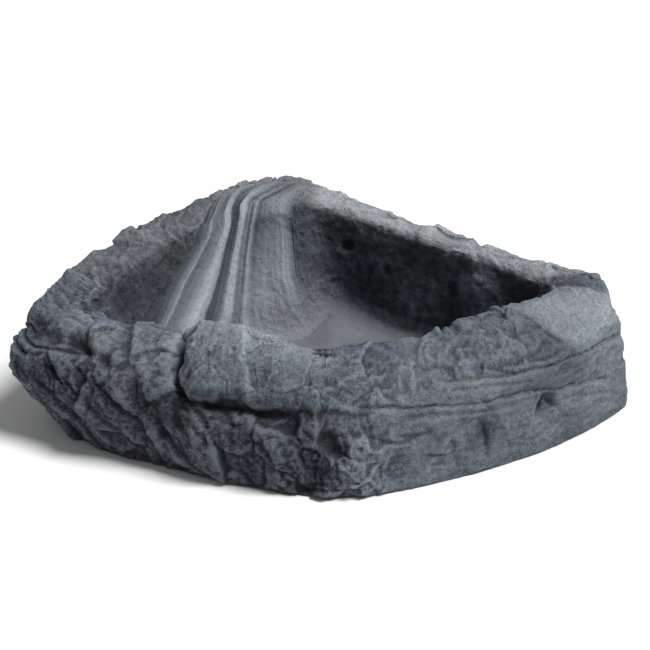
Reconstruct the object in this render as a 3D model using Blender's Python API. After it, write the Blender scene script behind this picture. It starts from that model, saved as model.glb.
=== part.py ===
"""Corner rock basin: a quarter-round artificial-rock water basin for a terrarium or pond corner.

A thin hollow rock shell carries a water-tight liner bowl. A rigid foam core fills the space between them,
a flat base plate closes the underside, and a streaked cascade ramp and one loose-looking rim boulder are
bonded on top. Five rubber pads carry the whole thing. Nothing moves.

Metres, +Z up. +X is the right-hand side seen from the round front, and the square corner points to +Y.
The pads stand on Z = 0, and X = Y = 0 is the middle of the basin's bounding box.
"""

import math

import bmesh
import bpy
import numpy as np

MM = 0.001

# ---- driving dimensions ----

SHELL_WALL = 5.0 * MM
LINER_WALL = 4.5 * MM
GAP = 0.5 * MM  # bond line left between neighbouring pieces
CORE_HEIGHT = 0.55  # the shell's wall thickness is measured towards a core line that ends at this share of the rim

PAD_RADIUS = 11.0 * MM
PAD_HEIGHT = 2.0 * MM
PAD_EDGE = 0.4 * MM
PLATE_BOTTOM = PAD_HEIGHT + GAP
PLATE_THICKNESS = 3.5 * MM
PLATE_TOP = PLATE_BOTTOM + PLATE_THICKNESS
PLATE_CLEARANCE = 1.5 * MM  # round the plate's edge, inside the shell
CORE_BOTTOM = PLATE_TOP + GAP

STEPS_PER_STATION = 4  # mesh columns between two stations of the outline
FLOOR_CENTRE = (0.0, 0.0, 15.0)  # lowest point of the basin floor, millimetres

# Loops of the rock, counterclockwise from the left-hand tip, in millimetres: x, y, z at 20 stations.
# Stations 0 to 9 run along the round front, 9 is the right-hand tip, 14 is the square back corner.
BASE = [
    (-176, -37, 1), (-150, -66, 1), (-92, -102, 1), (-34, -131, 1), (8, -137, 1),
    (64, -125, 1), (106, -110, 1), (143, -92, 1), (176, -70, 1), (202, -46, 1),
    (190, -24, 1), (143, 14, 1), (77, 74, 1), (28, 122, 1), (-10, 137, 1),
    (-54, 126, 1), (-94, 104, 1), (-138, 68, 1), (-174, 20, 1), (-184, -12, 1),
]
BELLY = [
    (-199, -38, 42), (-165, -68, 40), (-100, -104, 36), (-38, -128, 32), (8, -133, 30),
    (64, -120, 30), (106, -106, 32), (143, -88, 34), (174, -67, 36), (197, -45, 38),
    (186, -24, 40), (141, 14, 40), (76, 73, 50), (27, 121, 60), (-10, 136, 60),
    (-54, 126, 60), (-96, 104, 55), (-142, 68, 50), (-184, 16, 48), (-201, -12, 46),
]
SHOULDER = [
    (-198, -36, 64), (-165, -59, 60), (-98, -95, 58), (-28, -112, 56), (8, -117, 56),
    (62, -113, 58), (104, -104, 62), (140, -92, 66), (168, -70, 70), (186, -44, 74),
    (180, -28, 78), (140, 14, 83), (75, 73, 90), (26, 119, 98), (-10, 134, 102),
    (-54, 123, 103), (-96, 101, 96), (-139, 62, 90), (-181, 12, 82), (-197, -12, 73),
]
CREST = [
    (-185, -30, 80), (-155, -42, 76), (-92, -62, 74), (-28, -84, 74), (8, -84, 74),
    (60, -78, 76), (100, -66, 78), (134, -52, 80), (158, -46, 80), (176, -38, 80),
    (172, -28, 83), (134, 12, 87), (70, 68, 94), (22, 112, 103), (-10, 124, 110),
    (-54, 113, 111), (-92, 91, 103), (-136, 57, 96), (-172, 12, 90), (-187, -10, 84),
]
LIP = [
    (-150, -6, 78), (-126, -22, 76), (-88, -42, 74), (-30, -78, 73), (8, -80, 72),
    (58, -70, 74), (96, -54, 78), (128, -40, 80), (146, -30, 81), (150, -26, 81),
    (146, -18, 81), (118, 14, 84), (58, 62, 92), (14, 92, 100), (-14, 96, 103),
    (-50, 94, 103), (-80, 76, 97), (-116, 46, 91), (-146, 12, 85), (-156, 2, 81),
]
FOOT = [
    (-112, -4, 18), (-98, -14, 17), (-68, -30, 16), (-24, -56, 16), (8, -60, 16),
    (50, -52, 16), (84, -38, 17), (110, -28, 18), (128, -23, 20), (133, -19, 21),
    (128, -13, 20), (104, 10, 18), (52, 54, 20), (18, 76, 28), (-12, 52, 20),
    (-42, 54, 20), (-66, 46, 20), (-92, 28, 20), (-112, 12, 20), (-118, 3, 20),
]

# Rows of the visible surface from one loop to the next, and the share of the way to the floor's centre.
OUTER_LOOPS = (BASE, BELLY, SHOULDER, CREST, LIP)
ROWS_PER_SPAN = 3
WALL_ROWS = (0.3, 0.62, 0.86, 1.0)  # shares of the way from the lip to the foot of the wall
WALL_SAG = (0.0, 0.05, 0.06, 0.0)  # how far the wall bows outwards there, as a share of its run
FLOOR_ROWS = (0.12, 0.45, 0.8)

# Cascade ramp: raised strip from the crest at the back corner to the floor.
RAMP_STATIONS = (13.25, 17.0)
RAMP_RELIEF = (  # thickness across the strip in millimetres, right to left: panel, ribs and grooves
    1.6, 3.2, 4.6, 5.6, 6.0, 4.4, 7.4, 3.8, 8.4, 8.0, 3.0, 8.0, 7.4, 3.6, 6.0, 1.6,
)
RAMP_ENDS = (0.35, 0.8)  # relief kept in the first and the second row from either end

# Rim boulder: a lump bonded on the front rim, left of the middle.
BOULDER_STATIONS = (2.0, 3.5)
BOULDER_RELIEF = (2.5, 9.0, 11.0, 10.0, 8.0, 5.0, 2.0)  # thickness across the lump, left to right
BOULDER_ENDS = (0.25, 0.75)

# Rock relief of the outer face: depth in millimetres, and waves around and up the wall.
RELIEF_DEPTH = 1.3
RELIEF_WAVES = ((7, 2.1, 0.0), (13, -3.3, 1.7), (23, 4.7, 4.1))

# Rows of the smooth surface that the two bonded pieces lie on.
RAMP_OUTER_ROWS = slice(-4, None)
RAMP_INNER_ROWS = slice(1, -2)
BOULDER_ROWS = slice(5, None)

PAD_SIDES = 24
SHARP_ANGLE = math.radians(40)

PADS = {  # foot pad centres, millimetres
    "foot_pad_left": (-150, -14),
    "foot_pad_front_left": (-58, -90),
    "foot_pad_front_right": (84, -92),
    "foot_pad_right": (160, -36),
    "foot_pad_back_corner": (-12, 108),
}

SLATE = (0.155, 0.180, 0.215)
DARK_SLATE = (0.085, 0.100, 0.120)
PALE_SLATE = (0.225, 0.255, 0.290)
FOAM = (0.62, 0.55, 0.36)
PLATE = (0.035, 0.037, 0.040)
RUBBER = (0.020, 0.020, 0.021)


# ---- scene and materials ----


def clear_scene():
    for obj in list(bpy.data.objects):
        bpy.data.objects.remove(obj, do_unlink=True)


def material(name, color, roughness):
    made = bpy.data.materials.new(name)
    made.use_nodes = True
    shader = made.node_tree.nodes["Principled BSDF"]
    shader.inputs["Base Color"].default_value = (*color, 1.0)
    shader.inputs["Roughness"].default_value = roughness
    return made


def add_object(name, mesh, finish):
    mesh.materials.append(finish)
    mesh.shade_smooth()
    mesh.set_sharp_from_angle(angle=SHARP_ANGLE)
    made = bpy.data.objects.new(name, mesh)
    bpy.context.scene.collection.objects.link(made)
    return made


# ---- the rock's visible surface, as rows of points ----


def around(loop):
    """The loop's stations joined by a smooth closed curve, in metres."""
    points = np.array(loop, float) * MM
    count = len(points)
    steps = np.arange(count * STEPS_PER_STATION) / STEPS_PER_STATION
    start = steps.astype(int)
    u = (steps - start)[:, None]
    before, here, after, beyond = (points[(start + k) % count] for k in (-1, 0, 1, 2))
    return 0.5 * (
        2 * here
        + (after - before) * u
        + (2 * before - 5 * here + 4 * after - beyond) * u**2
        + (3 * here - before - 3 * after + beyond) * u**3
    )


def between(loops, rows):
    """Rows of points on the smooth surface through open-ended loops, with the loops among them."""
    padded = [2 * loops[0] - loops[1], *loops, 2 * loops[-1] - loops[-2]]
    made = []
    for k in range(len(loops) - 1):
        p0, p1, p2, p3 = padded[k : k + 4]
        for step in range(rows):
            u = step / rows
            curve = (
                2 * p1
                + (p2 - p0) * u
                + (2 * p0 - 5 * p1 + 4 * p2 - p3) * u**2
                + (3 * p1 - p0 - 3 * p2 + p3) * u**3
            )
            made.append(0.5 * curve)
    return made + [loops[-1]]


def row_normals(rows, closed=True):
    """Outward normals of a grid whose columns run around the rock and whose rows run from outside to inside."""
    grid = np.array(rows)
    along = np.roll(grid, -1, axis=1) - np.roll(grid, 1, axis=1)
    if not closed:
        along[:, 0] = grid[:, 1] - grid[:, 0]
        along[:, -1] = grid[:, -1] - grid[:, -2]
    up = np.gradient(grid, axis=0)
    normal = np.cross(along, up)
    return normal / np.linalg.norm(normal, axis=2, keepdims=True)


def station_columns(stations):
    """Column numbers of the mesh between two stations of the outline, the ends included."""
    first, last = (round(station * STEPS_PER_STATION) for station in stations)
    return np.arange(first, last + 1)


def carve_relief(rows):
    """Uneven rock on the outer face, left out at the base, the lip and under the bonded-on pieces."""
    grid = np.array(rows)
    normal = row_normals(rows)
    row_count, column_count = grid.shape[:2]
    turn = 2 * math.pi * np.arange(column_count) / column_count
    height = np.arange(row_count) / (row_count - 1)
    wave = sum(np.sin(n * turn[None, :] + m * height[:, None] * math.pi + p) for n, m, p in RELIEF_WAVES)
    fade = np.sin(math.pi * height)[:, None] * np.ones(column_count)
    for stations in (RAMP_STATIONS, BOULDER_STATIONS):
        covered = station_columns(stations)
        fade[:, covered[0] - 2 : covered[-1] + 3] = 0.0
    return list(grid + normal * (wave * fade * RELIEF_DEPTH * MM)[:, :, None])


def outer_rows():
    """Visible surface from the base over the rim to the lip."""
    return carve_relief(between([around(loop) for loop in OUTER_LOOPS], ROWS_PER_SPAN))


def inner_rows():
    """Visible surface from just under the lip down the wall and across the floor."""
    lip, foot, crest = around(LIP), around(FOOT), around(CREST)
    centre = np.array(FLOOR_CENTRE) * MM
    down = (foot - lip) / np.linalg.norm(foot - lip, axis=1, keepdims=True)
    outwards = crest - lip
    outwards[:, 2] = 0
    rows = [lip + down * GAP]
    for share, sag in zip(WALL_ROWS, WALL_SAG):
        rows.append(lip + (foot - lip) * share + outwards * sag)
    for share in FLOOR_ROWS:
        sink = np.array([0.0, 0.0, (centre[2] - foot[:, 2].mean()) * (1 - share) * share])
        rows.append(foot + (centre - foot) * share + sink)
    return rows


# ---- meshes from rows ----


def ring_mesh(name, rows):
    """Closed skin of a ring-shaped piece: the last row joins the first one again."""
    return rows_mesh(name, rows, wrap_rows=True)


def rows_mesh(name, rows, wrap_rows=False, start=None, end=None):
    """Skin through closed rows of points. start and end are single points that close its two ends."""
    built = bmesh.new()
    rings = [[built.verts.new(point) for point in row] for row in rows]
    pairs = list(zip(rings, rings[1:]))
    if wrap_rows:
        pairs.append((rings[-1], rings[0]))
    for lower, upper in pairs:
        count = len(lower)
        for i in range(count):
            j = (i + 1) % count
            built.faces.new((lower[i], lower[j], upper[j]))
            built.faces.new((lower[i], upper[j], upper[i]))
    for ring, point, flip in ((rings[0], start, True), (rings[-1], end, False)):
        if point is None:
            continue
        tip = built.verts.new(point)
        for i in range(len(ring)):
            j = (i + 1) % len(ring)
            face = (ring[i], ring[j], tip)
            built.faces.new(face[::-1] if flip else face)
    return finish_mesh(name, built)


def strip_mesh(name, bottom, top):
    """Closed solid between two open grids of points that share their layout."""
    built = bmesh.new()
    under = [[built.verts.new(point) for point in row] for row in bottom]
    over = [[built.verts.new(point) for point in row] for row in top]
    for grid, flip in ((under, True), (over, False)):
        for low, high in zip(grid, grid[1:]):
            for i in range(len(low) - 1):
                for face in ((low[i], low[i + 1], high[i + 1]), (low[i], high[i + 1], high[i])):
                    built.faces.new(face[::-1] if flip else face)
    edge_under = rim_of(under)
    edge_over = rim_of(over)
    for i in range(len(edge_under)):
        j = (i + 1) % len(edge_under)
        built.faces.new((edge_under[i], edge_under[j], edge_over[j], edge_over[i]))
    return finish_mesh(name, built)


def rim_of(grid):
    """The border of an open grid, in order: first row, right side, last row back, left side up."""
    right = [row[-1] for row in grid[1:-1]]
    left = [row[0] for row in grid[1:-1]]
    return grid[0] + right + grid[-1][::-1] + left[::-1]


def finish_mesh(name, built):
    bmesh.ops.recalc_face_normals(built, faces=built.faces)
    mesh = bpy.data.meshes.new(name)
    built.to_mesh(mesh)
    built.free()
    return mesh


# ---- the pieces ----


def core_directions(rows):
    """Unit vectors from the shell's visible surface towards the core line inside its wall."""
    shoulder, lip = around(SHOULDER), around(LIP)
    middle = (shoulder + lip) / 2
    top = shoulder[:, 2] * CORE_HEIGHT
    made = []
    for row in rows:
        core = middle.copy()
        core[:, 2] = np.minimum(row[:, 2], top)
        aim = core - row
        made.append(aim / np.linalg.norm(aim, axis=1, keepdims=True))
    return made


def inset_rows(rows, directions, depth):
    return [row + direction * depth for row, direction in zip(rows, directions)]


def level_row(rows, height):
    """The row of a wall at one height, between its first two rows."""
    low, high = rows[:2]
    share = (height - low[:, 2:]) / (high[:, 2:] - low[:, 2:])
    return low + (high - low) * share


def rock_shell(outer, finish):
    inner = inset_rows(outer, core_directions(outer), SHELL_WALL)
    inner[0][:, 2] = outer[0][:, 2]
    return add_object("rock_shell", ring_mesh("rock_shell", outer + inner[::-1]), finish)


def liner_underside(inner, depth):
    """The bowl's hidden side: square to the wall along the lip, straight down under the floor."""
    normal = row_normals(inner)
    lip_direction = core_directions([inner[0]])[0]
    made = []
    for k, row in enumerate(inner):
        away = -normal[k]
        if k == 0:
            away = lip_direction
        made.append(row + away * depth)
    return made


def pool_liner(inner, finish):
    centre = np.array(FLOOR_CENTRE) * MM
    under = liner_underside(inner, LINER_WALL)
    below = centre - (0, 0, LINER_WALL)
    mesh = rows_mesh("pool_liner", under[::-1] + inner, start=below, end=centre)
    return add_object("pool_liner", mesh, finish)


def foam_core(outer, inner, finish):
    depth = SHELL_WALL + GAP
    hidden = inset_rows(outer, core_directions(outer), depth)
    hidden[0][:, 2] = outer[0][:, 2]
    foot_row = level_row(hidden, CORE_BOTTOM)
    under = liner_underside(inner, LINER_WALL + GAP)
    centre = np.array(FLOOR_CENTRE) * MM
    top_centre = centre - (0, 0, LINER_WALL + GAP)
    bottom_centre = (centre[0], centre[1], CORE_BOTTOM)
    rows = [foot_row] + hidden[1:] + under[1:]
    # Reversed, so that its triangles split the same way as those of the skins that it backs.
    mesh = rows_mesh("foam_core", rows[::-1], start=top_centre, end=bottom_centre)
    return add_object("foam_core", mesh, finish)


def base_plate(outer, finish):
    wall = inset_rows(outer[:2], core_directions(outer[:2]), SHELL_WALL + PLATE_CLEARANCE)
    wall[0][:, 2] = outer[0][:, 2]
    low, high = level_row(wall, PLATE_BOTTOM), level_row(wall, PLATE_TOP)
    middle = low.mean(axis=0)
    mesh = rows_mesh(
        "base_plate",
        [low, high],
        start=(middle[0], middle[1], PLATE_BOTTOM),
        end=(middle[0], middle[1], PLATE_TOP),
    )
    return add_object("base_plate", mesh, finish)


def bonded_piece(name, surface, columns, thickness, ends, finish):
    """A piece that lies on the rock: its underside keeps GAP to the surface, its top follows a relief."""
    grid = [row[columns % len(row)] for row in surface]
    normal = row_normals(grid, closed=False)
    share = np.ones(len(grid))
    share[0], share[1] = ends
    share[-1], share[-2] = ends
    profile = np.interp(np.linspace(0, 1, len(columns)), np.linspace(0, 1, len(thickness)), thickness)
    bottom = [row + normal[k] * GAP for k, row in enumerate(grid)]
    top = [row + normal[k] * (2 * GAP + profile * MM * share[k])[:, None] for k, row in enumerate(grid)]
    return add_object(name, strip_mesh(name, bottom, top), finish)


def cascade_ramp(outer, inner, finish):
    surface = outer[RAMP_OUTER_ROWS] + inner[RAMP_INNER_ROWS]
    columns = station_columns(RAMP_STATIONS)
    return bonded_piece("cascade_ramp", surface, columns, RAMP_RELIEF, RAMP_ENDS, finish)


def rim_boulder(outer, finish):
    surface = outer[BOULDER_ROWS]
    columns = station_columns(BOULDER_STATIONS)
    return bonded_piece("rim_boulder", surface, columns, BOULDER_RELIEF, BOULDER_ENDS, finish)


def foot_pad(name, centre, finish):
    built = bmesh.new()
    bmesh.ops.create_cone(
        built, cap_ends=True, segments=PAD_SIDES, radius1=PAD_RADIUS, radius2=PAD_RADIUS, depth=PAD_HEIGHT
    )
    rim = [edge for edge in built.edges if abs(edge.verts[0].co.z - edge.verts[1].co.z) < GAP]
    bmesh.ops.bevel(built, geom=rim, offset=PAD_EDGE, segments=1, profile=0.5, affect="EDGES")
    pad = add_object(name, finish_mesh(name, built), finish)
    pad.location = (centre[0] * MM, centre[1] * MM, PAD_HEIGHT / 2)
    return pad


def centre_on_origin():
    """Moves every piece so that X = Y = 0 is the middle of the whole basin's box."""
    bpy.context.view_layer.update()
    pieces = list(bpy.context.scene.collection.objects)
    corners = [piece.matrix_world @ vertex.co for piece in pieces for vertex in piece.data.vertices]
    for axis in (0, 1):
        places = [corner[axis] for corner in corners]
        middle = (min(places) + max(places)) / 2
        for piece in pieces:
            piece.location[axis] -= middle


def main():
    clear_scene()
    rock = material("rock", SLATE, 0.85)
    liner = material("liner", DARK_SLATE, 0.80)
    ramp = material("ramp", PALE_SLATE, 0.78)
    boulder = material("boulder", SLATE, 0.85)
    foam = material("foam", FOAM, 0.95)
    plate = material("plate", PLATE, 0.60)
    rubber = material("rubber", RUBBER, 0.90)

    outer = outer_rows()
    inner = inner_rows()
    rock_shell(outer, rock)
    pool_liner(inner, liner)
    foam_core(outer, inner, foam)
    base_plate(outer, plate)
    cascade_ramp(outer, inner, ramp)
    rim_boulder(outer, boulder)
    for name, centre in PADS.items():
        foot_pad(name, centre, rubber)
    centre_on_origin()


main()
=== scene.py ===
import math

import bpy
import numpy as np
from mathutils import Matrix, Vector


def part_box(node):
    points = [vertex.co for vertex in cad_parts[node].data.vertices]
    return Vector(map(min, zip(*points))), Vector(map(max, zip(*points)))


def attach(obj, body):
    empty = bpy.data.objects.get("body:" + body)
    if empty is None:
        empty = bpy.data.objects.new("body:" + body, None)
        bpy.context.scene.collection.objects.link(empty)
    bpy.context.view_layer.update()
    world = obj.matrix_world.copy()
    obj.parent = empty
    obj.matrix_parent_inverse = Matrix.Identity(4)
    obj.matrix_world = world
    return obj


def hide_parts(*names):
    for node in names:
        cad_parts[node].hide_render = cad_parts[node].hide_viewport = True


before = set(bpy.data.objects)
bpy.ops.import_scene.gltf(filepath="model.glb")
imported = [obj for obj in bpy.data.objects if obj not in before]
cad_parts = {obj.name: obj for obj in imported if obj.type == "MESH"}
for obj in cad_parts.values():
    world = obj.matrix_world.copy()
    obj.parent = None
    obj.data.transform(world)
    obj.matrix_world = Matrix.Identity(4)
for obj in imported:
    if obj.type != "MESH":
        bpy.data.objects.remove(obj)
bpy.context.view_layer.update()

MM = 0.001

# ---- the rock's outline, as in the CAD model ----

# Loops counterclockwise from the left-hand tip, in millimetres: x, y, z at 20 stations. Stations 0 to 9 run
# along the round front, 9 is the right-hand tip and 14 the square back corner.
BASE = [
    (-176, -37, 1), (-150, -66, 1), (-92, -102, 1), (-34, -131, 1), (8, -137, 1),
    (64, -125, 1), (106, -110, 1), (143, -92, 1), (176, -70, 1), (202, -46, 1),
    (190, -24, 1), (143, 14, 1), (77, 74, 1), (28, 122, 1), (-10, 137, 1),
    (-54, 126, 1), (-94, 104, 1), (-138, 68, 1), (-174, 20, 1), (-184, -12, 1),
]
BELLY = [
    (-199, -38, 42), (-165, -68, 40), (-100, -104, 36), (-38, -128, 32), (8, -133, 30),
    (64, -120, 30), (106, -106, 32), (143, -88, 34), (174, -67, 36), (197, -45, 38),
    (186, -24, 40), (141, 14, 40), (76, 73, 50), (27, 121, 60), (-10, 136, 60),
    (-54, 126, 60), (-96, 104, 55), (-142, 68, 50), (-184, 16, 48), (-201, -12, 46),
]
SHOULDER = [
    (-198, -36, 64), (-165, -59, 60), (-98, -95, 58), (-28, -112, 56), (8, -117, 56),
    (62, -113, 58), (104, -104, 62), (140, -92, 66), (168, -70, 70), (186, -44, 74),
    (180, -28, 78), (140, 14, 83), (75, 73, 90), (26, 119, 98), (-10, 134, 102),
    (-54, 123, 103), (-96, 101, 96), (-139, 62, 90), (-181, 12, 82), (-197, -12, 73),
]
CREST = [
    (-185, -30, 80), (-155, -42, 76), (-92, -62, 74), (-28, -84, 74), (8, -84, 74),
    (60, -78, 76), (100, -66, 78), (134, -52, 80), (158, -46, 80), (176, -38, 80),
    (172, -28, 83), (134, 12, 87), (70, 68, 94), (22, 112, 103), (-10, 124, 110),
    (-54, 113, 111), (-92, 91, 103), (-136, 57, 96), (-172, 12, 90), (-187, -10, 84),
]
LIP = [
    (-150, -6, 78), (-126, -22, 76), (-88, -42, 74), (-30, -78, 73), (8, -80, 72),
    (58, -70, 74), (96, -54, 78), (128, -40, 80), (146, -30, 81), (150, -26, 81),
    (146, -18, 81), (118, 14, 84), (58, 62, 92), (14, 92, 100), (-14, 96, 103),
    (-50, 94, 103), (-80, 76, 97), (-116, 46, 91), (-146, 12, 85), (-156, 2, 81),
]
FOOT = [
    (-112, -4, 18), (-98, -14, 17), (-68, -30, 16), (-24, -56, 16), (8, -60, 16),
    (50, -52, 16), (84, -38, 17), (110, -28, 18), (128, -23, 20), (133, -19, 21),
    (128, -13, 20), (104, 10, 18), (52, 54, 20), (18, 76, 28), (-12, 52, 20),
    (-42, 54, 20), (-66, 46, 20), (-92, 28, 20), (-112, 12, 20), (-118, 3, 20),
]
FLOOR_CENTRE = (0.0, 0.0, 15.0)
BACK_PAD = (-12, 108)  # the back corner's foot pad, in the loops' coordinates
STATIONS = len(BASE)

# Places up and over the rock: 0 base, 1 belly, 2 shoulder, 3 crest, 4 lip, 5 foot of the wall and
# 6 the floor's centre.
CENTRE_AT = 6.0

FULL_COLUMNS = 45
COLUMNS_PER_STATION = FULL_COLUMNS
RAMP_GRID = ((330, 200))
BOULDER_GRID = ((260, 150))
OUTER_ROWS = ((0, 1, 32), (1, 2, 24), (2, 3, 26), (3, 4, 22))
INNER_ROWS = ((4, 5, 60), (5, 6, 30))

# How far the hidden sides lie behind the visible ones, in millimetres.
SHELL_DEPTH = 7.5
LINER_DEPTH = 6.0
RAMP_DEPTH = 3.2
BOULDER_DEPTH = 2.5
LIP_THICKNESS = 2.5
DEEPEST_ROW = 3.2  # the shell's hidden rows stop below this place, where the lip gets thin
FIRST_LINER_ROW = 4.2  # and the liner's start above this one
LOWEST_ROCK = 0.6
HIDDEN_PAINT = {"tone": 0.3, "warmth": 0.2, "grit": 0.4}


# ---- noise ----


class Noise:
    """Repeatable gradient noise and cells in three dimensions, on whole arrays of points."""

    def __init__(self, seed):
        random = np.random.RandomState(seed)
        self.order = np.tile(random.permutation(256), 2)
        directions = random.normal(size=(256, 3))
        self.directions = directions / np.linalg.norm(directions, axis=1, keepdims=True)
        self.numbers = random.uniform(size=(256, 4))

    def pick(self, cell):
        """One table entry for each whole-number cell."""
        x, y, z = (cell[..., k] & 255 for k in range(3))
        return self.order[self.order[self.order[x] + y] + z]

    def smooth(self, points):
        """Gradient noise, about -1 to 1."""
        cell = np.floor(points).astype(int)
        inside = points - cell
        ease = inside**3 * (inside * (inside * 6 - 15) + 10)
        total = np.zeros(points.shape[:-1])
        for step in np.array(list(np.ndindex(2, 2, 2))):
            slope = self.directions[self.pick(cell + step)]
            weight = np.prod(np.where(step, ease, 1 - ease), axis=-1)
            total += weight * ((inside - step) * slope).sum(axis=-1)
        return total * 1.6

    def layers(self, points, size, octaves=4, gain=0.5):
        """Several octaves of gradient noise; size is the largest feature's, in millimetres."""
        total = np.zeros(points.shape[:-1])
        strength = 1.0
        for k in range(octaves):
            total += strength * self.smooth(points * (2.03**k / size) + 17.3 * k)
            strength *= gain
        return total

    def ridges(self, points, size, octaves=4, gain=0.5):
        """Sharp-crested octaves, 0 in the valleys to about 1 on the ridges."""
        total = np.zeros(points.shape[:-1])
        strength = 0.5
        for k in range(octaves):
            wave = 1 - np.abs(self.smooth(points * (2.03**k / size) + 9.1 * k))
            total += strength * wave**2
            strength *= gain
        return total

    def cells(self, points, size):
        """Distances to the nearest and the second cell point, the nearest one's entry, and the way to it."""
        scaled = points / size
        cell = np.floor(scaled).astype(int)
        nearest = np.full(points.shape[:-1], 9.0)
        second = nearest.copy()
        entry = np.zeros(points.shape[:-1], int)
        offset = np.zeros(points.shape)
        for step in np.array(list(np.ndindex(3, 3, 3))) - 1:
            corner = cell + step
            picked = self.pick(corner)
            away = scaled - corner - self.numbers[picked][..., :3]
            distance = np.linalg.norm(away, axis=-1)
            closer = distance < nearest
            second = np.where(closer, nearest, np.minimum(second, distance))
            nearest = np.where(closer, distance, nearest)
            entry = np.where(closer, picked, entry)
            offset = np.where(closer[..., None], away, offset)
        return nearest, second, entry, offset

    def facets(self, points, size, tilt=1.0, step=0.5, soft=0.2):
        """Broken rock: flat faces, each at its own tilt and height, about -1 to 1, worn at their edges."""
        nearest, second, entry, offset = self.cells(points, size)
        lean = (offset * self.directions[entry]).sum(axis=-1)
        height = self.numbers[entry][..., 3] - 0.5
        worn = smoothstep(-0.3 * soft, soft, second - nearest)
        return (lean * tilt + height * 2 * step) * worn, second - nearest

    def pits(self, points, size, share, radius):
        """Round pits in a share of the cells: 1 in a pit's middle, 0 between pits."""
        nearest, _, entry, _ = self.cells(points, size)
        chosen = self.numbers[entry][..., 3] < share
        return chosen * np.exp(-((nearest * size / radius) ** 2))


NOISES = [Noise(seed) for seed in range(11, 19)]


def wandering(points, size, octaves, first):
    """A smooth push in all three directions, from three of the noises."""
    return np.stack([NOISES[first + k].layers(points, size, octaves) for k in range(3)], axis=-1)


def smoothstep(low, high, value):
    u = np.clip((value - low) / (high - low), 0, 1)
    return u * u * (3 - 2 * u)


def band(value, low, high, soft):
    """1 between low and high, falling to 0 over soft on either side."""
    return smoothstep(low - soft, low, value) * (1 - smoothstep(high, high + soft, value))


def from_station(t, start):
    """Stations counted round from a starting one, so that a stretch across station 0 stays in one piece."""
    return (t - start) % STATIONS + start


# ---- the smooth surface ----


def loop_shift():
    """From the loops' coordinates to the frame's, in metres, found from one pad."""
    low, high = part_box("foot_pad_back_corner")
    middle = (np.array(low) + np.array(high)) / 2
    return np.array([middle[0] - BACK_PAD[0] * MM, middle[1] - BACK_PAD[1] * MM, 0.0])


LOOP_SHIFT = loop_shift()

# How far the basin's edge is worn down into a slope, by station: the left-hand end is, the rest isn't.
WORN_EDGE = np.array([1.0, 0.9, 0.5, 0.1, 0, 0, 0, 0, 0, 0, 0, 0, 0, 0, 0, 0, 0.2, 0.5, 0.8, 1.0])[:, None]


def control_points():
    """Loops of the whole visible surface and where each one lies on the way over the rock."""
    base, belly, shoulder, crest, lip, foot = (
        np.array(loop, float) for loop in (BASE, BELLY, SHOULDER, CREST, LIP, FOOT)
    )
    centre = np.broadcast_to(np.array(FLOOR_CENTRE), foot.shape)
    outwards = (crest - lip) * (1, 1, 0)
    lip = lip - WORN_EDGE * (0, 0, 7)
    wall_high = lip + (foot - lip) * 0.33 + outwards * 0.03
    wall_low = lip + (foot - lip) * 0.72 + outwards * 0.06 * (1 - WORN_EDGE) + WORN_EDGE * (0, 0, 3)
    floor = foot + (centre - foot) * 0.45
    loops = [base, belly, shoulder, crest, lip, wall_high, wall_low, foot, floor, centre]
    places = [0, 1, 2, 3, 4, 4.33, 4.72, 5, 5.45, 6]
    first = 2 * base - belly
    last = 2 * centre - floor
    return np.array([first, *loops, last]), np.array(places, float)


CONTROL, PLACES = control_points()


def spline(p0, p1, p2, p3, u):
    return 0.5 * (
        2 * p1
        + (p2 - p0) * u
        + (2 * p0 - 5 * p1 + 4 * p2 - p3) * u**2
        + (3 * p1 - p0 - 3 * p2 + p3) * u**3
    )


def smooth_surface(t, s):
    """Points of the smooth rock, in millimetres, at stations t and places s."""
    k = np.clip(np.searchsorted(PLACES, s, side="right") - 1, 0, len(PLACES) - 2)
    v = ((s - PLACES[k]) / (PLACES[k + 1] - PLACES[k]))[..., None]
    i = np.floor(t).astype(int)
    u = (t - i)[..., None]
    across = []
    for row in range(4):
        points = [CONTROL[k + row, (i + column) % STATIONS] for column in (-1, 0, 1, 2)]
        across.append(spline(*points, u))
    return spline(*across, v)


def surface_point(station, place):
    return smooth_surface(np.array([float(station)]), np.array([float(place)]))[0]


def normals_of(points):
    """Outward normals of a grid whose rows go from outside to inside and columns counterclockwise."""
    along = np.roll(points, -1, axis=1) - np.roll(points, 1, axis=1)
    if np.linalg.norm(points[0, 0] - points[0, -1]) > 12:
        along[:, 0] = points[:, 1] - points[:, 0]
        along[:, -1] = points[:, -1] - points[:, -2]
    up = np.gradient(points, axis=0)
    normal = np.cross(along, up)
    length = np.linalg.norm(normal, axis=-1, keepdims=True)
    return normal / np.maximum(length, 1e-9)


def arc_lengths():
    """Distance round the belly from the back corner, in millimetres, as stations and lengths."""
    t = np.arange(14, 34.01, 0.05)
    belly = smooth_surface(t, np.ones_like(t))
    steps = np.linalg.norm(np.diff(belly, axis=0), axis=1)
    return t, np.concatenate([[0], np.cumsum(steps)])


ARC_STATIONS, ARC_LENGTHS = arc_lengths()


def unrolled(t, points):
    """Flat coordinates of the outer face: distance round the belly, height, and 0."""
    around = np.interp(from_station(t, 14), ARC_STATIONS, ARC_LENGTHS)
    return np.stack([around, points[..., 2], np.zeros_like(around)], axis=-1)


# ---- the cascade ramp's own coordinate ----

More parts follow.
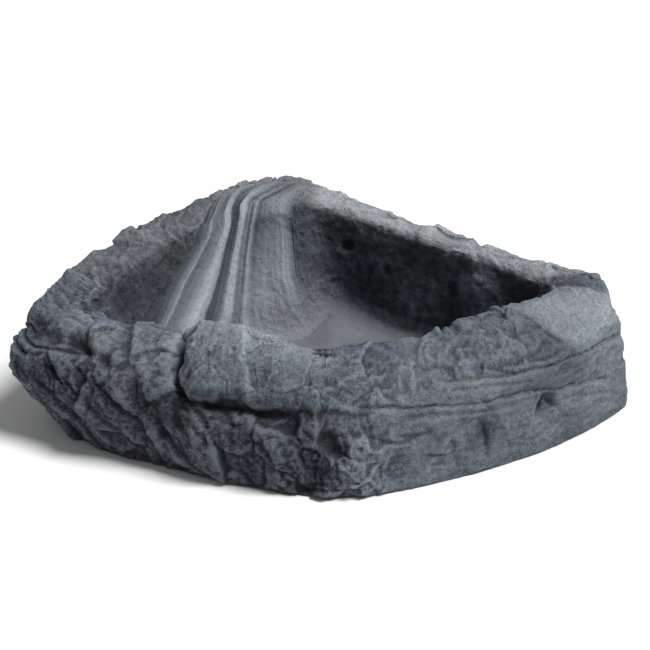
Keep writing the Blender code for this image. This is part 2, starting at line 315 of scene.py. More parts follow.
# Where its lines run: right edge, broad rib, thin rib, thick rib, groove, thick rib, thin rib and left edge.
RAMP_LINES = np.array([0.0, 1.0, 2.0, 3.0, 3.5, 4.0, 5.0, 6.0])
RAMP_PLACES = np.array([3.0, 3.35, 3.6, 3.9, 4.1, 4.3, 4.56, 4.8, 5.0, 5.3])
RAMP_STATIONS = np.array([
    (13.45, 13.65, 13.85, 14.10, 14.30, 14.50, 14.90, 15.30),
    (13.55, 13.75, 13.95, 14.30, 14.50, 14.80, 15.20, 15.60),
    (13.65, 13.90, 14.20, 14.60, 14.85, 15.08, 15.42, 15.80),
    (13.82, 14.15, 14.60, 14.90, 15.08, 15.28, 15.66, 16.00),
    (13.88, 14.25, 14.78, 15.05, 15.25, 15.44, 15.94, 16.30),
    (13.90, 14.26, 14.94, 15.30, 15.52, 15.82, 16.44, 16.90),
    (13.87, 14.30, 15.14, 15.62, 15.92, 16.30, 17.10, 17.50),
    (13.60, 14.18, 15.34, 15.92, 16.27, 16.85, 17.90, 18.30),
    (13.30, 13.85, 15.42, 16.20, 16.60, 17.30, 18.50, 18.90),
    (12.70, 13.50, 15.50, 16.30, 16.80, 17.50, 18.60, 19.00),
])
RAMP_HEIGHTS = np.array([
    (0.00, 0.0), (0.20, 0.6), (0.60, 1.6), (1.00, 3.0), (1.35, 2.0), (1.70, 1.5), (1.86, 0.7), (1.93, 2.8),
    (2.00, 4.0), (2.12, 3.6), (2.25, 1.8), (2.50, 1.6), (2.66, 3.8), (2.85, 5.0), (3.00, 5.2), (3.20, 4.6),
    (3.36, 1.2), (3.48, 0.2), (3.60, 0.8), (3.76, 4.4), (4.00, 5.4), (4.22, 4.8), (4.42, 2.4), (4.62, 1.6),
    (4.84, 2.2), (4.95, 3.8), (5.06, 3.6), (5.20, 1.6), (5.55, 0.6), (6.00, 0.0),
])
RAMP_TONES = np.array([
    (0.00, 0.36), (0.50, 0.50), (0.85, 0.66), (1.05, 0.74), (1.30, 0.60), (1.70, 0.52), (1.84, 0.30),
    (1.93, 0.66), (2.03, 0.90), (2.14, 0.78), (2.28, 0.50), (2.52, 0.46), (2.68, 0.76), (2.90, 0.92),
    (3.12, 0.90), (3.28, 0.62), (3.40, 0.20), (3.60, 0.14), (3.74, 0.60), (3.92, 0.92), (4.14, 0.92),
    (4.34, 0.62), (4.55, 0.40), (4.80, 0.40), (4.94, 0.74), (5.06, 0.72), (5.20, 0.42), (5.50, 0.16),
    (6.00, 0.18),
])


def ramp_coordinate(t, s):
    """Which of the ramp's lines a point lies on or between: 0 at its right edge to 6 at its left edge."""
    t = from_station(t, 4)
    found = np.zeros_like(t)
    columns = [np.interp(s, RAMP_PLACES, column) for column in RAMP_STATIONS.T]
    for k, width in enumerate(np.diff(RAMP_LINES)):
        found += width * np.clip((t - columns[k]) / (columns[k + 1] - columns[k]), 0, 1)
    return found


def ramp_mask(w, s):
    """1 on the ramp, 0 off it."""
    return band(w, 0.25, 5.6, 0.25) * band(s, 3.15, 4.95, 0.3)


def arch_bow(w):
    """How much the arched edge over the panel's recess bends, as a place."""
    return 0.05 * np.cos((w - 1.1) * 1.6)


def ramp_relief(w, s):
    """Thickness of the ramp over the wall behind it, in millimetres."""
    height = np.interp(w, *RAMP_HEIGHTS.T)
    along = band(s, 3.5, 4.75, 0.45)
    below_arch = smoothstep(4.12, 4.22, s + arch_bow(w)) * (1 - smoothstep(4.35, 4.9, s))
    recess = band(w, 0.35, 1.85, 0.15) * below_arch
    return height * along - 1.6 * recess


# ---- rock relief, in millimetres along the surface's normal ----


def line_points(stations_places):
    """A line's corners on the smooth surface, and more between them."""
    corners = np.array(stations_places, float)
    steps = np.linspace(0, len(corners) - 1, 12 * (len(corners) - 1) + 1)
    t = np.interp(steps, np.arange(len(corners)), corners[:, 0])
    s = np.interp(steps, np.arange(len(corners)), corners[:, 1])
    return smooth_surface(t, s)


def distance_to_line(points, line):
    """Distance of every point to the nearest of a line's points, with the share of the way along it."""
    nearest = np.full(points.shape[:-1], 1e9)
    share = np.zeros(points.shape[:-1])
    for k, corner in enumerate(line):
        distance = np.linalg.norm(points - corner, axis=-1)
        closer = distance < nearest
        nearest = np.where(closer, distance, nearest)
        share = np.where(closer, k / (len(line) - 1), share)
    return nearest, share


# Cracks: corners as (station, place), width and depth in millimetres.
CRACKS = [
    ([(1.95, 3.30), (1.93, 2.90), (1.97, 2.50), (1.96, 2.15), (2.02, 1.84)], 5.5, 9.0),
    ([(2.02, 1.90), (2.20, 1.80), (2.45, 1.76), (2.70, 1.74), (2.95, 1.66)], 5.0, 6.5),
    ([(0.55, 1.95), (0.80, 1.62), (1.00, 1.20), (1.24, 0.94)], 2.6, 3.4),
    ([(1.62, 1.80), (1.70, 1.30), (1.76, 0.80), (1.80, 0.35)], 2.8, 4.0),
    ([(1.30, 1.75), (1.42, 1.30), (1.56, 0.96), (1.66, 0.80)], 2.4, 3.0),
    ([(0.85, 2.55), (1.08, 2.46), (1.25, 2.36), (1.45, 2.20)], 2.6, 4.0),
    ([(0.30, 1.40), (0.55, 1.05), (0.80, 0.75), (1.00, 0.40)], 2.6, 3.0),
    ([(1.20, 0.90), (1.35, 0.55), (1.50, 0.20)], 2.2, 2.4),
    ([(2.10, 1.10), (2.28, 0.80), (2.36, 0.40)], 2.2, 2.2),
    ([(2.72, 0.62), (2.70, 0.40), (2.67, 0.18)], 1.3, 3.0),
    ([(2.84, 0.60), (2.90, 0.35), (3.02, 0.10)], 1.3, 1.6),
    ([(3.66, 1.42), (3.74, 1.10), (3.78, 0.80)], 1.2, 2.2),
    ([(6.56, 2.90), (6.76, 2.62), (7.02, 2.28), (7.30, 1.90)], 1.6, 2.0),
    ([(4.80, 2.70), (5.00, 2.45), (5.10, 2.20)], 1.4, 1.8),
    ([(4.55, 2.60), (4.80, 2.52), (5.02, 2.40)], 1.2, 1.4),
    ([(6.58, 1.16), (6.50, 0.98), (6.44, 0.80)], 2.0, 3.4),
    ([(6.60, 1.16), (6.72, 1.00), (6.82, 0.90)], 1.7, 2.6),
    ([(5.50, 1.00), (5.53, 0.80), (5.54, 0.40)], 2.0, 3.2),
    ([(0.60, 3.30), (0.90, 3.42), (1.20, 3.40)], 1.2, 1.4),
]

# Ledges: corners as (station, place), and how far the rock above stands back, in millimetres.
LEDGES = [
    ([(4.95, 2.18), (5.36, 2.08), (5.90, 1.98), (6.68, 1.88), (7.32, 1.80), (8.34, 1.54), (9.0, 1.40)], 1.8),
    ([(4.00, 1.86), (4.74, 1.70), (5.44, 1.50), (6.18, 1.42), (7.12, 1.14), (8.22, 0.80)], 1.5),
    ([(4.10, 1.08), (4.48, 1.02), (4.66, 1.08)], 1.3),
    ([(5.5, 2.26), (6.1, 2.16), (6.7, 2.08), (7.0, 2.06)], 1.2),
    ([(4.4, 1.58), (4.9, 1.46), (5.5, 1.28), (6.0, 1.22)], 0.9),
    ([(19.2, 2.2), (20.2, 2.1), (21.0, 2.35)], 1.8),
    ([(5.0, 1.96), (5.6, 1.84), (6.3, 1.70)], 0.8),
    ([(6.9, 0.98), (7.6, 0.74), (8.3, 0.52)], 0.7),
]

# Hollows: station, place, radius and depth in millimetres.
HOLLOWS = [
    (3.48, 1.26, 5.2, 9.0), (3.57, 1.06, 5.0, 9.0), (3.66, 0.86, 4.0, 5.0), (3.34, 0.58, 7.0, 3.0),
    (19.98, 2.78, 10.0, 7.0),
    (0.95, 2.52, 9.0, 5.0), (0.55, 2.62, 6.0, 3.5), (2.95, 1.30, 7.0, 2.5), (5.50, 0.98, 8.0, 2.5),
    (6.60, 1.02, 8.0, 2.5), (7.85, 1.25, 8.0, 1.6), (12.70, 4.35, 4.2, 4.5), (12.30, 4.50, 4.0, 1.8),
    (12.05, 4.44, 4.0, 1.6), (11.36, 4.42, 5.0, 2.2), (4.35, 0.55, 10.0, 1.8), (1.95, 1.30, 9.0, 2.6),
]

# Swellings: station, place, radius and height in millimetres.
SWELLINGS = [
    (12.78, 4.42, 3.4, 2.0), (11.10, 4.30, 13.0, 4.0), (10.90, 4.70, 14.0, 4.0), (11.80, 3.00, 9.0, 3.4),
    (11.45, 3.02, 7.0, 3.2), (10.70, 3.05, 9.0, 2.2), (6.20, 2.95, 16.0, 3.4), (5.40, 3.00, 14.0, 2.6),
    (4.60, 2.70, 13.0, 2.2), (1.20, 3.00, 16.0, 2.6), (0.50, 3.10, 14.0, 2.2), (3.90, 0.30, 12.0, 2.0),
    (2.10, 0.60, 16.0, 2.4), (0.85, 1.25, 14.0, 2.2), (1.45, 1.55, 13.0, 2.2), (13.90, 3.00, 12.0, 1.6),
    (16.75, 3.00, 10.0, 2.4), (17.40, 3.00, 12.0, 1.6), (10.20, 2.95, 16.0, 4.5), (9.70, 2.95, 13.0, 3.5),
]


def carved_lines(points):
    """Depth of all cracks, wavering in width and running out at their ends."""
    depth = np.zeros(points.shape[:-1])
    wobble = 1.4 * NOISES[1].layers(points, 9, 2)
    for corners, width, deep in CRACKS:
        distance, share = distance_to_line(points, line_points(corners))
        ends = np.sqrt(np.sin(math.pi * np.clip(share, 0.02, 0.98)))
        depth -= deep * ends * np.exp(-((np.maximum(distance + wobble, 0) / width) ** 2))
    return depth


def carved_ledges(t, points):
    """Steps back above each ledge's line, with a fine groove along it."""
    depth = np.zeros(points.shape[:-1])
    sway = 1.2 * NOISES[2].layers(points, 22, 3)
    for corners, back in LEDGES:
        line = line_points(corners)
        stations = np.interp(
            np.linspace(0, 1, len(line)), np.linspace(0, 1, len(corners)), np.array(corners)[:, 0]
        )
        turn = from_station(t, stations[0] - 2)
        above = points[..., 2] - np.interp(turn, stations, line[:, 2]) - sway
        ends = band(turn, stations[0] + 0.2, stations[-1] - 0.2, 0.35)
        step = smoothstep(-0.5, 0.7, above) * np.exp(-np.maximum(above, 0) / 7)
        shadow_line = np.exp(-((above - 0.6) ** 2) / 1.1)
        depth -= back * ends * (step + 0.5 * shadow_line)
    return depth


def dents_and_swellings(points):
    relief = np.zeros(points.shape[:-1])
    warp = points + 2.2 * wandering(points, 14, 2, 3)
    for spots, sign, power in ((HOLLOWS, -1, 3), (SWELLINGS, 1, 2)):
        for station, place, radius, size in spots:
            distance = np.linalg.norm(warp - surface_point(station, place), axis=-1)
            relief += sign * size * np.exp(-((distance / radius) ** power))
    return relief


def chunky_relief(t, points):
    """Diagonal broken blocks of the front's left half."""
    flat = unrolled(t, points) + 3.2 * wandering(points, 24, 3, 0)
    down = flat[..., 0] * 0.62 - flat[..., 1] * 0.78
    across = flat[..., 0] * 0.78 + flat[..., 1] * 0.62
    blocks = np.stack([down / 1.8, across, np.full_like(down, 3.3)], axis=-1)
    large, edge = NOISES[3].facets(blocks, 25.0, tilt=1.9, step=0.35, soft=0.05)
    small, _ = NOISES[4].facets(blocks + 31.0, 13.0, tilt=1.6, step=0.2, soft=0.06)
    open_joints = smoothstep(0.0, 0.35, NOISES[6].layers(points, 34, 2))
    relief = 3.3 * large + 1.5 * small + 1.7 * (NOISES[5].ridges(points, 5, 3, 0.7) - 0.5)
    relief -= 0.5 * open_joints * np.exp(-((edge / 0.09) ** 2))
    chips, _ = NOISES[7].facets(blocks * 1.3, 7.0, tilt=1.5, step=0.3, soft=0.05)
    return relief + 0.6 * chips - 1.2 * NOISES[2].pits(points, 6.0, 0.25, 1.2)


def layered_relief(t, points):
    """Level beds of the front's right half."""
    flat = unrolled(t, points)
    slope = flat[..., 1] + 0.05 * flat[..., 0] + 4.5 * NOISES[5].layers(points * (1, 1, 0.5), 52, 3)
    beds = np.stack([flat[..., 0] / 90.0, slope / 8.0, np.full_like(slope, 0.5)], axis=-1)
    bed = np.floor(beds[..., 1]).astype(int)
    inside = beds[..., 1] - bed
    along = np.stack([beds[..., 0] * 3.1 + bed * 7.7, bed * 3.3, np.zeros_like(slope)], axis=-1)
    stand = NOISES[6].smooth(along) * 1.5
    above = np.stack([beds[..., 0] * 3.1 + (bed + 1) * 7.7, (bed + 1) * 3.3, np.zeros_like(slope)], axis=-1)
    stand_above = NOISES[6].smooth(above) * 1.5
    relief = stand + (stand_above - stand) * smoothstep(0.82, 1.0, inside)
    warp = points + 3.0 * NOISES[3].layers(points, 24, 2)[..., None]
    blocks, _ = NOISES[2].facets(warp, 30.0, tilt=1.3, step=0.2)
    relief += 1.4 * blocks + 1.0 * NOISES[7].layers(points, 34, 3)
    relief += 0.45 * NOISES[0].layers(points * (1, 1, 2.0), 9, 3)
    return relief - 1.0 * NOISES[1].pits(points, 7.0, 0.2, 1.0)


def block_relief(points):
    """Plain broken faces of the two back walls."""
    warp = points + 4.0 * wandering(points, 32, 3, 4)
    large, _ = NOISES[0].facets(warp, 42.0, tilt=1.2, step=0.1, soft=0.16)
    small, _ = NOISES[1].facets(warp, 17.0, tilt=1.2, step=0.1, soft=0.2)
    relief = 1.5 * large + 0.5 * small + 1.5 * (NOISES[2].ridges(points, 7, 3, 0.6) - 0.5)
    relief += 1.6 * NOISES[3].layers(points, 60, 2) + 1.4 * NOISES[5].layers(points, 24, 3)
    return relief - 1.2 * NOISES[4].pits(points, 8.0, 0.2, 1.3)


def rough_relief(points):
    """Pitted lumps of the rim."""
    warp = points + 3.4 * wandering(points, 20, 3, 1)
    large, edge = NOISES[5].facets(warp, 27.0, tilt=1.5, step=0.15, soft=0.06)
    small, _ = NOISES[6].facets(warp, 12.0, tilt=1.6, step=0.2, soft=0.06)
    open_joints = smoothstep(0.15, 0.5, NOISES[0].layers(points, 30, 2))
    broken = smoothstep(-0.15, 0.35, NOISES[4].layers(points, 42, 2))
    relief = 2.3 * large + (0.6 + 0.8 * broken) * small + 1.3 * NOISES[7].layers(points, 36, 2)
    relief += (0.5 + 0.9 * broken) * (NOISES[2].ridges(points, 5.5, 3, 0.7) - 0.5)
    relief -= 0.3 * broken * open_joints * np.exp(-((edge / 0.06) ** 2))
    relief -= 1.8 * broken * NOISES[3].pits(points, 8.5, 0.45, 1.5)
    return relief - 1.0 * NOISES[1].pits(points, 6.0, 0.25, 0.9)


def wall_relief(points):
    """Lumped, scooped inner wall."""
    warp = points + 2.0 * wandering(points, 18, 2, 2)
    scoops, _ = NOISES[1].facets(warp, 19.0, tilt=1.2, step=0.1)
    relief = 1.7 * NOISES[4].layers(points * (1, 1, 0.7), 28, 3) + 0.8 * scoops
    relief += 0.6 * (NOISES[5].ridges(points, 8, 3) - 0.5)
    return relief - 1.2 * NOISES[6].pits(points, 9.0, 0.25, 1.5)


def where_used(weight, make, *arrays):
    """A relief times its weight, worked out only where the weight isn't 0."""
    found = np.zeros(weight.shape)
    used = weight > 0.002
    if used.any():
        found[used] = weight[used] * make(*(array[used] for array in arrays))
    return found


def slab_mask(turn, s):
    """1 on the smooth slab at the right-hand end, which lies lower than the rough rim beside it."""
    edge = 26.65 + 0.74 * np.clip(2.9 - s, -0.3, 1.2)
    beside = smoothstep(-0.05, 0.10, turn - edge) * (1 - smoothstep(29.3, 29.8, turn))
    return beside * smoothstep(1.78, 1.92, s) * (1 - smoothstep(3.85, 4.0, s))


def held_back(relief):
    """Relief whose hollows stay within the wall's thickness."""
    return np.where(relief < -3, -3 - 3.5 * np.tanh((-3 - relief) / 3.5), relief)


def rock_relief(t, s, points):
    """All relief of the rock without the ramp and the boulder."""
    turn = from_station(t, 10)
    left = band(turn, 18.7, 22.8, 0.8)
    right = band(turn, 24.3, 29.4, 0.7)
    middle = band(turn, 23.2, 23.9, 0.6)
    back = np.clip(1 - left - right - middle, 0, 1)
    outer = 1 - smoothstep(1.85, 2.35, s)
    rim = smoothstep(1.75, 2.3, s) * (1 - smoothstep(4.0, 4.25, s))
    inner = smoothstep(3.95, 4.3, s) * (1 - smoothstep(4.85, 5.1, s))
    floor = smoothstep(4.8, 5.15, s)
    slab = slab_mask(turn, s)
    relief = where_used(outer * left, chunky_relief, t, points)
    relief += where_used(outer * right, layered_relief, t, points)
    relief += where_used(outer * np.clip(back + 0.5 * middle, 0, 1), block_relief, points)
    rough = rim * (1 - 0.35 * band(turn, 10.5, 13.6, 0.5)) * (1 - 0.75 * slab) + 1.2 * outer * middle
    relief += where_used(rough, rough_relief, points)
    relief += where_used(inner, wall_relief, points)
    relief -= 2.6 * slab
    relief += floor * 0.35 * NOISES[2].layers(points, 30, 3)
    relief += carved_lines(points) + carved_ledges(t, points) + dents_and_swellings(points)
    fine = 1 - 0.8 * floor
    relief += fine * (0.28 * NOISES[0].layers(points, 3.4, 2) + 0.5 * NOISES[7].layers(points, 6.5, 2))
    base_hold = smoothstep(0.0, 0.06, s)
    return held_back(relief * (0.35 + 0.65 * base_hold))


# ---- paint, as numbers that the materials read ----


def blurred(grid, columns, rows, closed=True):
    """The grid averaged over a few columns and rows on either side, one pass of each."""
    for axis, reach in ((1, columns), (0, rows)):
        if reach < 1:
            continue
        mode = "wrap" if axis == 1 and closed else "edge"
        widths = [(0, 0), (0, 0)]
        widths[axis] = (reach, reach)
        padded = np.pad(grid, widths, mode=mode)
        total = np.cumsum(padded, axis=axis)
        total = np.insert(total, 0, 0, axis=axis)
        size = 2 * reach + 1
        ahead = np.take(total, np.arange(size, total.shape[axis]), axis=axis)
        behind = np.take(total, np.arange(0, total.shape[axis] - size), axis=axis)
        grid = (ahead - behind) / size
    return grid


def cavity_of(relief, closed=True):
    """How far a point stands out of its surroundings or lies in a hollow, about -1 to 1."""
    scale = COLUMNS_PER_STATION / FULL_COLUMNS
    close = relief - blurred(relief, round(2 * scale), 2, closed)
    near = relief - blurred(relief, round(5 * scale), 4, closed)
    wide = relief - blurred(relief, round(14 * scale), 11, closed)
    shares = ((close, 0.30, 0.45), (near, 0.9, 0.25), (wide, 2.6, 0.30))
    return sum(share * np.clip(difference / full, -1, 1) for difference, full, share in shares)


# Darker spots, most of them over the hollows and cracks: station, place, radius in millimetres and strength.
DARKENED_SPOTS = [
    (5.50, 0.80, 9.0, 0.30), (6.58, 1.00, 7.0, 0.34), (3.54, 1.12, 7.0, 0.60), (19.98, 2.75, 12.0, 0.24),
    (0.95, 2.50, 10.0, 0.20), (1.68, 1.10, 12.0, 0.12), (4.20, 0.50, 12.0, 0.10), (12.70, 4.35, 4.0, 0.10),
    (3.30, 0.60, 10.0, 0.14), (0.50, 1.30, 14.0, 0.12), (1.95, 2.60, 7.0, 0.20), (2.30, 1.70, 9.0, 0.16),
    (2.05, 1.90, 8.0, 0.20), (4.60, 1.10, 14.0, 0.06), (10.2, 4.30, 14.0, 0.16),
]


def spot_darkening(points):
    """How much the darker spots darken the paint."""
    wash = np.zeros(points.shape[:-1])
    warp = points + 3.0 * NOISES[2].layers(points, 12, 3)[..., None]
    for station, place, radius, strength in DARKENED_SPOTS:
        distance = np.linalg.norm(warp - surface_point(station, place), axis=-1)
        wash += strength * np.exp(-((distance / radius) ** 2))
    return wash


def rock_tone(t, s, points, cavity):
    """Paint from 0, almost black, over slate grey to 1, pale dry-brushed grey, with painted shade and
    painted light mixed in.
    """
    turn = from_station(t, 10)
    # The cavity term darkens hollows and lightens raised points. This is partly the dry-brushed paint and
    # partly painted shade in the hollows and painted highlight on the raised points. It is strongest on the
    # front's left half, where it paints the shade in the cracks.
    drybrush_shade_and_light = 0.15 + 0.09 * band(turn, 18.3, 24.0, 0.8) * (1 - smoothstep(3.7, 4.0, s))
    tone = 0.42 + 0.10 * NOISES[6].layers(points, 45, 3) + drybrush_shade_and_light * cavity
    outer = 1 - smoothstep(1.8, 2.3, s)
    rim = band(s, 2.3, 3.95, 0.35)
    buttress = np.exp(-(((turn - 11.15 + 0.5 * (s - 4.3)) / 0.28) ** 2)) * band(s, 4.0, 4.7, 0.15)
    shares = (
        # the outer face, from the left half to the right-hand end, then its lowest edge
        # The left half and the stretch after it are darker, partly for their darker paint and partly as
        # painted shade on faces turned away from the light.
        (-0.19, band(turn, 18.3, 23.0, 0.8) * outer),
        (-0.10, band(turn, 23.2, 23.9, 0.4) * outer),
        (0.05, band(turn, 23.6, 24.8, 0.5) * outer),
        (0.02, band(turn, 24.3, 29.0, 0.8) * band(s, 0.9, 2.3, 0.5)),
        (0.02, band(turn, 23.6, 28.6, 0.5) * (1 - smoothstep(1.0, 1.5, s))),
        (0.05, band(turn, 27.8, 29.3, 0.5) * outer),
        # The lowest edge is darkened as painted shade along the floor.
        (-0.10, 1 - smoothstep(0.0, 0.25, s)),
        # the rim: all of it, then back right, back corner, back left, boulder, right of it and slab
        # The whole rim is lighter, partly for its dry-brushed paint and partly as painted light on tops that
        # face up.
        (0.06, rim),
        (0.38, band(turn, 10.4, 13.2, 0.4) * band(s, 2.5, 4.00, 0.08)),
        (0.06, band(turn, 13.0, 15.5, 0.6) * band(s, 2.6, 3.6, 0.3)),
        (-0.06, band(turn, 15.5, 21.4, 0.5) * rim),
        (0.16, band(turn, 21.9, 23.5, 0.2) * band(s, 2.7, 3.6, 0.3)),
        (0.10, band(turn, 22.3, 23.6, 0.3) * band(s, 3.0, 4.0, 0.3)),
        (-0.07, band(turn, 25.2, 26.8, 0.3) * band(s, 2.2, 3.5, 0.3)),
        (0.31, slab_mask(turn, s)),
        # the inner walls: the dark one at the right, its buttress, the left one and the valley by the ramp
        # The right inner wall is darker, partly for its darker wash and partly as painted shade, as it faces
        # away from the light.
        (-0.22, band(turn, 9.9, 14.0, 0.12) * band(s, 4.05, 4.80, 0.08)),
        (0.16, buttress),
        (-0.13, band(turn, 15.5, 19.0, 0.8) * band(s, 4.0, 5.0, 0.25)),
        (-0.17, band(turn, 15.7, 17.9, 0.4) * band(s, 4.05, 5.1, 0.15)),
    )
    tone += sum(strength * mask for strength, mask in shares) - spot_darkening(points)
    floor = floor_mask(turn, s, points)
    # On the floor, the cavity term likewise paints shade in the hollows and light on the raised points.
    return np.clip(tone * (1 - floor) + (0.50 + 0.15 * cavity) * floor, 0, 1)


def floor_mask(turn, s, points):
    """1 on the floor and on the silt that runs up beside the ramp's foot."""
    rise = np.interp(turn, (11.9, 12.5, 13.1, 13.6, 14.3, 18.0), (0.02, 0.09, 0.16, 0.22, 0.28, 0.0))
    return smoothstep(4.78, 5.12, s + rise + 0.07 * NOISES[4].layers(points, 14, 3))


def rock_warmth(t, s, points):
    """0 for blue slate, 1 for the browner grey of the floor and the worn rims."""
    turn = from_station(t, 10)
    back_rim = band(s, 2.6, 4.0, 0.4) * band(turn, 10.0, 17.5, 0.8)
    patches = smoothstep(-0.1, 0.5, NOISES[1].layers(points, 38, 3))
    return np.clip(0.6 * back_rim + 0.7 * floor_mask(turn, s, points) + 0.3 * patches, 0, 1)


# ---- meshes ----


def new_mesh(name, points, faces, attributes):
    """A mesh from points in millimetres, with one number per point for each attribute."""
    mesh = bpy.data.meshes.new(name)
    mesh.from_pydata((points * MM + LOOP_SHIFT).tolist(), [], faces)
    mesh.update()
    for label, numbers in attributes.items():
        layer = mesh.attributes.new(label, "FLOAT", "POINT")
        layer.data.foreach_set("value", numbers.astype(np.float32))
    return mesh


def grid_mesh(name, rows, attributes, close_rows=False, tips=(None, None)):
    """A mesh through closed rows of points; a tip closes the first or the last row with a fan."""
    grid = np.concatenate(rows, axis=0)
    row_count, column_count = grid.shape[:2]
    points = grid.reshape(-1, 3)
    left = np.arange(row_count * column_count).reshape(row_count, column_count)
    right = np.roll(left, -1, axis=1)
    if close_rows:
        low_l, low_r = left, right
        high_l, high_r = np.roll(left, -1, axis=0), np.roll(right, -1, axis=0)
    else:
        low_l, low_r, high_l, high_r = left[:-1], right[:-1], left[1:], right[1:]
    faces = np.stack([low_l, low_r, high_r, high_l], axis=-1).reshape(-1, 4).tolist()
    extra = []
    for tip, row, flip in ((tips[0], 0, True), (tips[1], -1, False)):
        if tip is None:
            continue
        number = len(points) + len(extra)
        extra.append(tip)
        for a, b in zip(left[row].tolist(), right[row].tolist()):
            faces.append((b, a, number) if flip else (a, b, number))
    if extra:
        points = np.concatenate([points, np.array(extra)])
    numbers = {}
    for label, values in attributes.items():
        flat = np.concatenate(values, axis=0).reshape(-1)
        numbers[label] = np.concatenate([flat, np.full(len(extra), flat[-1])])
    return new_mesh(name, points, faces, numbers)


def slab_mesh(name, top, bottom, attributes):
    """A closed solid between a visible open grid and a hidden one of the same layout."""
    row_count, column_count = top.shape[:2]
    index = np.arange(row_count * column_count).reshape(row_count, column_count)
    corners = [index[:-1, :-1], index[:-1, 1:], index[1:, 1:], index[1:, :-1]]
    upper = np.stack(corners, axis=-1).reshape(-1, 4)
    lower = upper[:, ::-1] + index.size
    rim = np.concatenate([index[0], index[1:, -1], index[-1, -2::-1], index[-2:0:-1, 0]])
    following = np.roll(rim, -1)
    side = np.stack([rim + index.size, following + index.size, following, rim], axis=-1)
    faces = np.concatenate([upper, lower, side]).tolist()
    points = np.concatenate([top.reshape(-1, 3), bottom.reshape(-1, 3)])
    numbers = {label: np.tile(visible.reshape(-1), 2) for label, visible in attributes.items()}
    return new_mesh(name, points, faces, numbers)


def add_piece(name, mesh, finish, node):
    mesh.materials.append(finish)
    mesh.shade_smooth()
    mesh.set_sharp_from_angle(angle=math.radians(75))
    piece = bpy.data.objects.new(name, mesh)
    bpy.context.scene.collection.objects.link(piece)
    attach(piece, "root")
    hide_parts(node)


def places_of(spans):
    """Row places through the given spans, each with its number of rows."""
    rows = [np.linspace(low, high, count, endpoint=False) for low, high, count in spans]
    return np.concatenate(rows + [[spans[-1][1]]])


def hidden_paint(rows, label):
    """The attribute's number for each point of hidden rows."""
    return np.full(rows.shape[:2], HIDDEN_PAINT[label])


class Rock:
    """The whole visible surface before it is split into shell and liner."""

    def __init__(self):
        t = np.arange(STATIONS * COLUMNS_PER_STATION) / COLUMNS_PER_STATION
        outer = places_of(OUTER_ROWS)
        inner = places_of(INNER_ROWS)[1:]
        self.split = len(outer)
        self.places = np.concatenate([outer, inner])[:-1]
        t, s = np.meshgrid(t, self.places)
        self.smooth = smooth_surface(t, s)
        self.normal = normals_of(self.smooth)
        under_ramp = ramp_mask(ramp_coordinate(t, s), s)
        relief = rock_relief(t, s, self.smooth)
        self.relief = relief * (1 - 0.85 * under_ramp) - 2.0 * under_ramp
        self.points = self.smooth + self.normal * self.relief[..., None]
        self.points[0, :, 2] = np.maximum(self.points[0, :, 2], LOWEST_ROCK)
        self.paint = {
            "tone": rock_tone(t, s, self.points, cavity_of(self.relief)),
            "warmth": rock_warmth(t, s, self.points),
            "grit": 1 - 0.75 * smoothstep(4.8, 5.1, s),
        }

    def behind(self, depth):
        """The hidden side, a depth in millimetres behind the visible one."""
        return self.smooth + self.normal * (np.minimum(self.relief, 0) - depth)[..., None]


def rock_shell(rock, finish):
    """The skin from the base over the rim to the lip, closed by a hidden side."""
    visible = rock.points[: rock.split]
    depths = [*np.flatnonzero(rock.places < DEEPEST_ROW)[::6], rock.split - 1]
    hidden = rock.behind(SHELL_DEPTH)[depths]
    hidden[-1] = visible[-1] - (0, 0, LIP_THICKNESS)
    hidden[0, :, 2] = visible[0, :, 2]
    attributes = {
        label: [numbers[: rock.split], hidden_paint(hidden, label)] for label, numbers in rock.paint.items()
    }
    mesh = grid_mesh("rock_skin", [visible, hidden[::-1]], attributes, close_rows=True)
    add_piece("rock_skin", mesh, finish, "rock_shell")


def pool_liner(rock, finish):
    """The bowl from the lip down to the floor's centre, closed by a hidden side."""
    start = rock.split - 1
    visible = rock.points[start:]
    depths = [start, *np.flatnonzero(rock.places > FIRST_LINER_ROW)[::4], len(rock.places) - 1]
    hidden = rock.behind(LINER_DEPTH)[depths]
    hidden[0] = visible[0] - (0, 0, LIP_THICKNESS)
    attributes = {
        label: [hidden_paint(hidden, label), numbers[start:]] for label, numbers in rock.paint.items()
    }
    tips = (np.array(FLOOR_CENTRE) - (0, 0, LINER_DEPTH), visible[-1].mean(axis=0))
    mesh = grid_mesh("pool_bowl", [hidden[::-1], visible], attributes, tips=tips)
    add_piece("pool_bowl", mesh, finish, "pool_liner")


